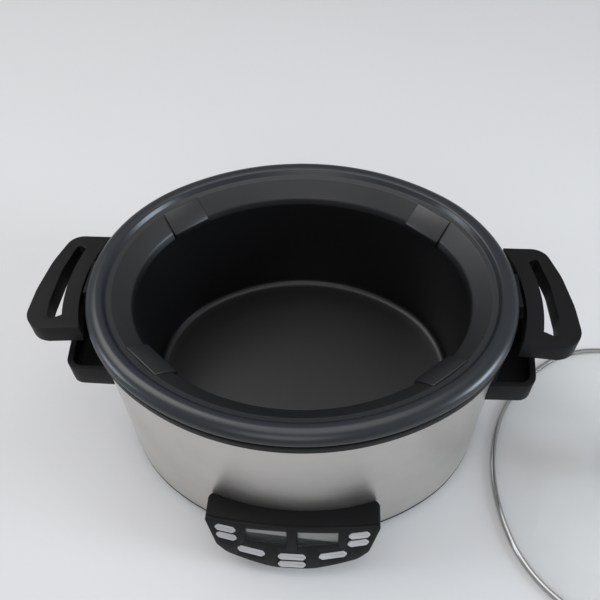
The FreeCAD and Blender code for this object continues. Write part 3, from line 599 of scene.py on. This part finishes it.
class COOKER_OT_pot(bpy.types.Operator):
    """Model the lift-out pot with its rolled rim, shoulder and rack rests"""
    bl_idname = "cooker.pot"
    bl_label = "Pot"

    def execute(self, context):
        sizes = context.scene.cooker_sizes
        wall = -31.5 * MM
        inner = wall - sizes.pot_wall
        floor = POT_LOW.z
        lip, top = 185 * MM, POT_HIGH.z
        roll = [((-6.5 + 10.5 * math.cos(turn)) * MM, 187 * MM + (top - 187 * MM) * math.sin(turn))
                for turn in (math.pi / 2 * step / 12 for step in range(13))]
        section = [
            (wall - 14 * MM, floor), (wall, floor, 10 * MM), (wall, 172.8 * MM, 3 * MM),
            (-17 * MM, lip + 0.6 * MM, 3 * MM), (-12 * MM, lip + 1.5 * MM, 2 * MM),
            (-8.5 * MM, top - 4 * MM, 2 * MM), (-2 * MM, top - 4.2 * MM, 2 * MM), (1 * MM, 188 * MM, 2 * MM),
            (1.5 * MM, lip, 0.4 * MM), (4 * MM, lip, 0.9 * MM), *roll,
            (-10.4 * MM, top - 1 * MM, 3 * MM), (-13 * MM, 189.6 * MM, 1.4 * MM),
            (-17.5 * MM, 188.6 * MM, 1.2 * MM), (-31.6 * MM, 176.2 * MM, 6 * MM), (inner, 170 * MM, 6 * MM),
            (inner, floor + 3 * MM, 10 * MM), (inner - 14 * MM, floor + 3 * MM)]
        pot = smooth(oval_ring("pot_body", rounded(section), closed=False))
        rests = [rack_rest(sizes, turn) for turn in (49, 131, -49, -131)]
        joined(pot, *rests)
        finish(pot, "pot", "pot_coating", "cooking_pot")
        return {"FINISHED"}


class COOKER_OT_shell(bpy.types.Operator):
    """Model the brushed steel shell, with its hemmed lower edge"""
    bl_idname = "cooker.shell"
    bl_label = "Shell"

    def execute(self, context):
        low, high = SHELL_LOW.z, SHELL_HIGH.z
        section = rounded([
            (0, low + 1.2 * MM, 0.5 * MM), (0, high), (-0.8 * MM, high), (-0.8 * MM, low + 4 * MM),
            (-1.9 * MM, low + 4 * MM, 0.3 * MM), (-1.9 * MM, low, 1 * MM), (-0.9 * MM, low, 0.8 * MM)], True, 3)
        shell = smooth(oval_ring("shell_body", section))
        finish(shell, "base", "brushed_steel", "outer_shell")
        return {"FINISHED"}


class COOKER_OT_collar(bpy.types.Operator):
    """Model the dark collar that caps the shell and carries the pot"""
    bl_idname = "cooker.collar"
    bl_label = "Collar"

    def execute(self, context):
        low, high = (Vector(corner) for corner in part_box("base_collar"))
        top, out = high.z, high.x - SHELL_HIGH.x
        section = rounded([
            (out, top - 7.4 * MM, 0.4 * MM), (out, top, 1.3 * MM), (-12 * MM, top, 0.6 * MM),
            (-12 * MM, 168 * MM), (-9.5 * MM, 168 * MM), (-9.5 * MM, top - 2.8 * MM),
            (-3.5 * MM, top - 2.8 * MM), (-3.5 * MM, low.z), (-1 * MM, low.z), (-1 * MM, top - 2.8 * MM),
            (0.2 * MM, top - 2.8 * MM), (0.2 * MM, top - 7.4 * MM)], True, 4)
        collar = smooth(oval_ring("collar", section))
        finish(collar, "base", "black_plastic", "base_collar")
        return {"FINISHED"}


def end_arc(sizes, reach, start, end, steps=14):
    """Points on the arc about the right end's centre, reach from it at y = 0, between two values of y."""
    radius = reach - sizes.end_centre
    return [(sizes.end_centre + math.sqrt(radius ** 2 - y ** 2), y)
            for y in (start + (end - start) * step / steps for step in range(steps + 1))]


class COOKER_OT_pot_handles(bpy.types.Operator):
    """Model the two pot handles, each a rounded bar round a curved finger slot"""
    bl_idname = "cooker.pot_handles"
    bl_label = "Pot handles"

    def execute(self, context):
        sizes = context.scene.cooker_sizes
        low, high = GRIP_LOW, GRIP_HIGH
        back = high.y
        inner = end_arc(sizes, low.x - 1 * MM, -0.93 * back, back)
        outline = inner + rounded([
            (low.x, back), (high.x - 15 * MM, back, 15 * MM), (high.x - 5 * MM, 0.4 * back, 70 * MM),
            (high.x - 0.5 * MM, -0.2 * back, 90 * MM), (high.x, -0.97 * back, 19 * MM),
            (low.x - 9 * MM, -0.97 * back)], bends=8)[1:-1]
        grip = slab("pot_grip_right", outline, low.z, high.z - low.z)
        near = end_arc(sizes, 204 * MM, -38 * MM, 39 * MM)
        slot = near + rounded([(200 * MM, 41 * MM), (207.5 * MM, 43 * MM, 3.4 * MM), (213.4 * MM, 12 * MM, 60 * MM),
                               (214 * MM, -24 * MM, 40 * MM), (211 * MM, -42 * MM, 5 * MM), (198 * MM, -42 * MM)],
                              bends=7)[1:-1]
        carve(grip, slab("slot", slot, low.z - MM, high.z - low.z + 2 * MM))
        soften(grip, sizes.grip_edge, 5, 45)
        twin = left_twin(grip, "pot_grip_left")
        for piece, side in ((grip, "right"), (twin, "left")):
            finish(piece, "pot", "handle_plastic", f"pot_handle_{side}")
        return {"FINISHED"}


class COOKER_OT_base_handles(bpy.types.Operator):
    """Model the two base handles with their deep hollows"""
    bl_idname = "cooker.base_handles"
    bl_label = "Base handles"

    def execute(self, context):
        sizes = context.scene.cooker_sizes
        low, high = EAR_LOW, EAR_HIGH
        half = [(high.x - 60 * MM, 70.5 * MM), (high.x - 5 * MM, 69.5 * MM, 12 * MM),
                (high.x - 0.5 * MM, 30 * MM, 60 * MM)]
        outline = rounded(half + [(x, -y, *more) for x, y, *more in reversed(half)], True, 6)
        ear = slab("base_grip_right", outline, low.z, high.z - low.z)
        deep = 11 * MM
        room = [(high.x - 60 * MM, 66.2 * MM), (high.x - 9.5 * MM, 65.2 * MM, 9 * MM),
                (high.x - 5 * MM, 28 * MM, 60 * MM)]
        room = slab("room", rounded(room + [(x, -y, *more) for x, y, *more in reversed(room)], True, 6),
                    high.z - deep, deep + MM)
        carve(room, shell_core(2.4 * MM, 0.22))
        carve(ear, shell_core(0.3 * MM, 0.22), room)
        soften(ear, sizes.ear_edge, 4, 50)
        twin = left_twin(ear, "base_grip_left")
        for piece, side in ((ear, "right"), (twin, "left")):
            finish(piece, "base", "handle_plastic", f"base_handle_{side}")
        return {"FINISHED"}


PANEL_TOP = 1.6 * MM


def panel_place():
    """The panel's own axes: X to the cooker's right, Y up the face, Z out of it."""
    out = -PRESS
    up = out.cross(Vector((1, 0, 0))).normalized()
    spot = Vector((0, -166.2 * MM, 60 * MM))
    return Matrix(((1, up.x, out.x, spot.x), (0, up.y, out.y, spot.y), (0, up.z, out.z, spot.z),
                   (0, 0, 0, 1)))


def panel_outline(inset=0.0):
    """The panel's outline seen square on: straight top, slanted sides and a sagging lower edge."""
    half = [(75.5, 0, 2.5), (66.2, -30.5, 7), (57, -38.6, 16), (38, -44.6, 60), (17, -50.2, 60)]
    right = [((x - inset / MM) * MM, PANEL_TOP + y * MM + (inset if y < -10 else -inset), bend * MM)
             for x, y, bend in half]
    return rounded(right + [(-x, y, bend) for x, y, bend in reversed(right)], True, 7)


def hood_plan(inset):
    """The hood's outline seen from above, with its two back corners rounded off against the shell."""
    wide, back, bend = 75.6 * MM - inset, -136.5 * MM, 9 * MM - inset
    corners = [(-wide, -0.3), (wide, -0.3), (wide, back - inset, bend), (-wide, back - inset, bend)]
    return slab("plan", rounded(corners, True, 8), -0.02, 0.16)


def drum(sizes, name, inset):
    """The lying cylinder whose front is the panel's bowed face, moved back by inset."""
    bpy.ops.object.select_all(action="DESELECT")
    bpy.ops.mesh.primitive_cylinder_add(vertices=720, radius=sizes.panel_curve - inset, depth=0.2,
                                        location=(0, 0, -sizes.panel_curve), rotation=(math.pi / 2, 0, 0))
    piece = bpy.context.active_object
    piece.name = name
    bpy.ops.object.transform_apply(location=True, rotation=True, scale=True)
    return piece


def button_outline(long, tall, rim=0.0):
    """A long flat hexagon with softened points."""
    x, y = long / 2 + rim, tall / 2 + rim
    flat, bend, tip = x - 0.85 * y, 1.1 * MM, 1.2 * MM
    return rounded([(x, 0, tip), (flat, y, bend), (-flat, y, bend), (-x, 0, tip), (-flat, -y, bend),
                    (flat, -y, bend)], True, 4)


# each button's turn in the panel's face, and its length
BUTTONS = {
    "button_temp_up": (-4, 19), "button_temp_down": (-6, 19),
    "button_time_up": (4, 19), "button_time_down": (6, 19),
    "button_slow_cook": (-10, 25), "button_brown": (0, 25), "button_steam": (10, 25),
    "button_start_stop": (0, 25),
}


def button_place(name):
    """A button's own axes, from its CAD box and the way it is pressed, with Z out and its face at Z = 0."""
    low, high = (Vector(corner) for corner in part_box(name))
    out = -Vector(JOINTS[name + "_press"]["axis"]).normalized()
    right = Vector((0, 0, 1)).cross(out).normalized()
    up = out.cross(right)
    face = (low + high) / 2 + out * 2.8 * MM
    place = Matrix((right.to_4d(), up.to_4d(), out.to_4d(), face.to_4d())).transposed()
    place[3][0] = place[3][1] = place[3][2] = 0
    return place @ Matrix.Rotation(math.radians(BUTTONS[name][0]), 4, "Z")


class COOKER_OT_panel(bpy.types.Operator):
    """Model the hood and the bowed fascia with its windows and button openings"""
    bl_idname = "cooker.panel"
    bl_label = "Panel"

    def execute(self, context):
        sizes = context.scene.cooker_sizes
        fascia = panel_slab("fascia", panel_outline(), -14 * MM, 20 * MM)
        plate = carve(drum(sizes, "plate", 0), drum(sizes, "back", sizes.fascia))
        carve(fascia, plate, way="INTERSECT")
        for side in (-1, 1):
            middle, half = side * 22.2 * MM, 17.8 * MM
            lean = side * 2.25 * MM
            corners = [(middle - half, -2.8 * MM, 1.2 * MM), (middle + half, -2.8 * MM, 1.2 * MM),
                       (middle + half, -19 * MM + lean, 1.2 * MM), (middle - half, -19 * MM - lean, 1.2 * MM)]
            carve(fascia, slab("pane", rounded(corners, True, 4), -12 * MM, 24 * MM))
        put(fascia, panel_place())
        for name, (_, long) in BUTTONS.items():
            hole = slab("hole", button_outline(long * MM, 6.6 * MM, 0.25 * MM), -9 * MM, 16 * MM)
            carve(fascia, put(hole, button_place(name)))
        soften(fascia, 0.45 * MM, 2, 50)
        finish(fascia, "base", "fascia_gloss", "panel_fascia")

        hood = panel_slab("hood", panel_outline(), -60 * MM, 66 * MM)
        carve(hood, drum(sizes, "front", sizes.fascia + 0.2 * MM), way="INTERSECT")
        put(hood, panel_place())
        carve(hood, hood_plan(0), way="INTERSECT")
        wall = 2.2 * MM
        room = put(panel_slab("room", panel_outline(wall), -70 * MM, 90 * MM), panel_place())
        carve(hood, carve(room, hood_plan(wall), way="INTERSECT"))
        carve(hood, shell_core(0.3 * MM, 0.1))
        soften(hood, 1.5 * MM, 4, 40)
        finish(hood, "base", "black_plastic", "panel_housing", look="hood")
        return {"FINISHED"}


class COOKER_OT_buttons(bpy.types.Operator):
    """Model the eight push buttons, long with softened points and a dished face"""
    bl_idname = "cooker.buttons"
    bl_label = "Buttons"

    def execute(self, context):
        edge = context.scene.cooker_sizes.button_edge
        for name, (_, long) in BUTTONS.items():
            cap = slab("cap_" + name, button_outline(long * MM, 6.6 * MM), -4.3 * MM, 4.3 * MM)
            with editing(cap):
                choose(cap, "FACE", lambda face: face.normal.z > 0.9)
                bpy.ops.mesh.inset(thickness=0.5 * MM, depth=0)
                bpy.ops.mesh.inset(thickness=1.1 * MM, depth=-0.25 * MM)
            soften(cap, edge * 0.5, 3, 40)
            put(cap, button_place(name))
            finish(cap, name, "button_silver", name)
        return {"FINISHED"}


def lid_place():
    """The lid's place on the table, from its knob, and its turn."""
    middle = (KNOB_LOW + KNOB_HIGH) / 2
    return Matrix.Translation((middle.x, middle.y, 0)) @ Matrix.Rotation(math.radians(71.5), 4, "Z")


class COOKER_OT_lid(bpy.types.Operator):
    """Model the lid: domed glass, its rolled steel band and its knob"""
    bl_idname = "cooker.lid"
    bl_label = "Lid"

    def execute(self, context):
        sizes = context.scene.cooker_sizes
        edge, reach = -28 * MM, 84 * MM
        low = 0.5 * MM

        def crown(high):
            return [(edge - 2 * MM - reach * step / 24, high + sizes.lid_rise * (1 - (1 - step / 24) ** 3))
                    for step in range(25)]
        glass = oval_ring("lid_dome", crown(low)[::-1] + crown(low + sizes.glass), closed=False)
        hole = [(0, 0), (4.2 * MM, 0), (4.2 * MM, 60 * MM), (0, 60 * MM)]
        carve(glass, turned("vent", hole, Vector((62 * MM, 0))))
        smooth(glass, 30)
        put(glass, lid_place())
        finish(glass, "lid", "lid_glass", "lid_glass")

        tall = 5 * MM
        inner, lip = edge - 1.7 * MM, edge - 4 * MM
        band = rounded([
            (edge, 0, 1.6 * MM), (edge, tall, 1.6 * MM), (lip, tall, 0.3 * MM), (lip, tall - 0.35 * MM),
            (inner, tall - 0.5 * MM, 1 * MM), (inner, 0.4 * MM, 0.6 * MM), (lip, 0.35 * MM),
            (lip, 0, 0.3 * MM)], True, 5)
        rim = put(smooth(oval_ring("lid_band", band)), lid_place())
        finish(rim, "lid", "lid_steel", "lid_rim")

        base, top = KNOB_LOW.z, KNOB_HIGH.z
        knob = rounded([
            (0, base), (12.4 * MM, base, 0.6 * MM), (13 * MM, base + 7 * MM, 12 * MM),
            (21 * MM, top - 10 * MM, 3 * MM), (22 * MM, top - 6 * MM, 3 * MM), (20.4 * MM, top, 2.4 * MM),
            (13 * MM, top, 1 * MM), (11.5 * MM, top - 1.2 * MM, 0.6 * MM), (0, top - 1.5 * MM)], False, 6)
        knob = smooth(turned("knob", knob, (KNOB_LOW + KNOB_HIGH) / 2))
        finish(knob, "lid", "handle_plastic", "lid_knob")
        return {"FINISHED"}


# ---------------------------------------------------------------- stage
def lamp(name, spot, aim, width, power, tone=(1, 1, 1)):
    light = bpy.data.lights.new(name, "AREA")
    light.shape = "DISK"
    light.size = width
    light.energy = power
    light.color = tone
    item = bpy.data.objects.new(name, light)
    bpy.context.scene.collection.objects.link(item)
    item.location = spot
    item.rotation_euler = (Vector(aim) - Vector(spot)).to_track_quat("-Z", "Y").to_euler()
    return item


class COOKER_OT_stage(bpy.types.Operator):
    """Set up the pale floor, the soft lamps and the camera"""
    bl_idname = "cooker.stage"
    bl_label = "Stage"

    def execute(self, context):
        scene = context.scene
        stage = scene.cooker_stage
        bpy.ops.object.select_all(action="DESELECT")
        bpy.ops.mesh.primitive_grid_add(x_subdivisions=8, y_subdivisions=8, size=9, location=(0, 0, 0))
        floor = context.active_object
        floor.name = "floor"
        with editing(floor):
            choose(floor, "VERT", lambda vert: vert.co.y > 4.4)
            bpy.ops.mesh.extrude_region_move(TRANSFORM_OT_translate={"value": (0, 0.6, 1.2)})
            bpy.ops.mesh.extrude_region_move(TRANSFORM_OT_translate={"value": (0, 0.1, 3.4)})
        smooth(floor, 80)
        pale = Finish("Pale floor", Specular_IOR_Level=0.2)
        cloud = pale.noise(2.5, 2)
        tone = tuple(scene.cooker_colours.floor)
        floor.data.materials.append(pale.surface(pale.blend(cloud, scaled(tone, 0.98), scaled(tone, 1.02)),
                                                 0.7 + cloud * 0.1))

        world = scene.world or bpy.data.worlds.new("World")
        scene.world = world
        world.use_nodes = True
        world.node_tree.nodes["Background"].inputs[0].default_value = (0.99, 0.99, 1, 1)
        world.node_tree.nodes["Background"].inputs[1].default_value = 0.44
        lamp("Key lamp", (-1.1, 0.5, 1.9), (0, 0, 0.1), 1.3, 15)
        lamp("Top lamp", (0.1, 0.1, 2.3), (0.1, 0, 0), 1.7, 12)
        lamp("Front lamp", (-0.2, -1.9, 1.7), (0.1, -0.2, 0), 1.4, 9)
        lamp("Right lamp", (1.9, -0.35, 0.75), (0.1, 0, 0.15), 0.8, 24, (0.78, 0.89, 1))
        lamp("Left lamp", (-1.9, -0.35, 0.7), (-0.1, 0, 0.15), 0.7, 9, (0.8, 0.9, 1))

        level = math.cos(stage.lift)
        back = Vector((math.sin(stage.swing) * level, -math.cos(stage.swing) * level, math.sin(stage.lift)))
        right = (-back).cross(Vector((0, 0, 1))).normalized()
        up = right.cross(-back)
        cos, sin = math.cos(stage.roll), math.sin(stage.roll)
        axes = Matrix((right * cos + up * sin, up * cos - right * sin, back)).transposed()
        camera = bpy.data.objects.new("Camera", bpy.data.cameras.new("Camera"))
        scene.collection.objects.link(camera)
        camera.data.lens = stage.lens
        camera.data.sensor_width = 36
        camera.data.shift_x = 0.002
        target = Vector((-0.00192, 0, 0.1625))
        camera.matrix_world = Matrix.Translation(target + back * stage.distance) @ axes.to_4x4()
        scene.camera = camera
        scene.view_settings.view_transform = "Standard"
        return {"FINISHED"}


class COOKER_PT_panel(bpy.types.Panel):
    """Lists the cooker's pieces and what can be changed"""
    bl_idname = "COOKER_PT_panel"
    bl_label = "Slow cooker"
    bl_space_type = "VIEW_3D"
    bl_region_type = "UI"
    bl_category = "Slow Cooker"

    def draw(self, context):
        scene = context.scene
        for group in (scene.cooker_sizes, scene.cooker_colours, scene.cooker_stage):
            box = self.layout.box()
            for word in group.bl_rna.properties.keys():
                if word not in ("rna_type", "name"):
                    box.prop(group, word)
        for operator in OPERATORS:
            self.layout.operator(operator.bl_idname)


GROUPS = {"cooker_sizes": CookerSizes, "cooker_colours": CookerColours, "cooker_stage": StageSizes}
OPERATORS = (COOKER_OT_finishes, COOKER_OT_pot, COOKER_OT_shell, COOKER_OT_collar, COOKER_OT_pot_handles,
             COOKER_OT_base_handles, COOKER_OT_panel, COOKER_OT_buttons, COOKER_OT_lid, COOKER_OT_stage)


def register():
    for kind in (*GROUPS.values(), *OPERATORS, COOKER_PT_panel):
        bpy.utils.register_class(kind)
    for word, kind in GROUPS.items():
        setattr(bpy.types.Scene, word, PointerProperty(type=kind))


def unregister():
    for word in GROUPS:
        delattr(bpy.types.Scene, word)
    for kind in reversed((*GROUPS.values(), *OPERATORS, COOKER_PT_panel)):
        bpy.utils.unregister_class(kind)


def main():
    register()
    for operator in OPERATORS:
        family, name = operator.bl_idname.split(".")
        getattr(getattr(bpy.ops, family), name)()


if __name__ == "__main__":
    main()
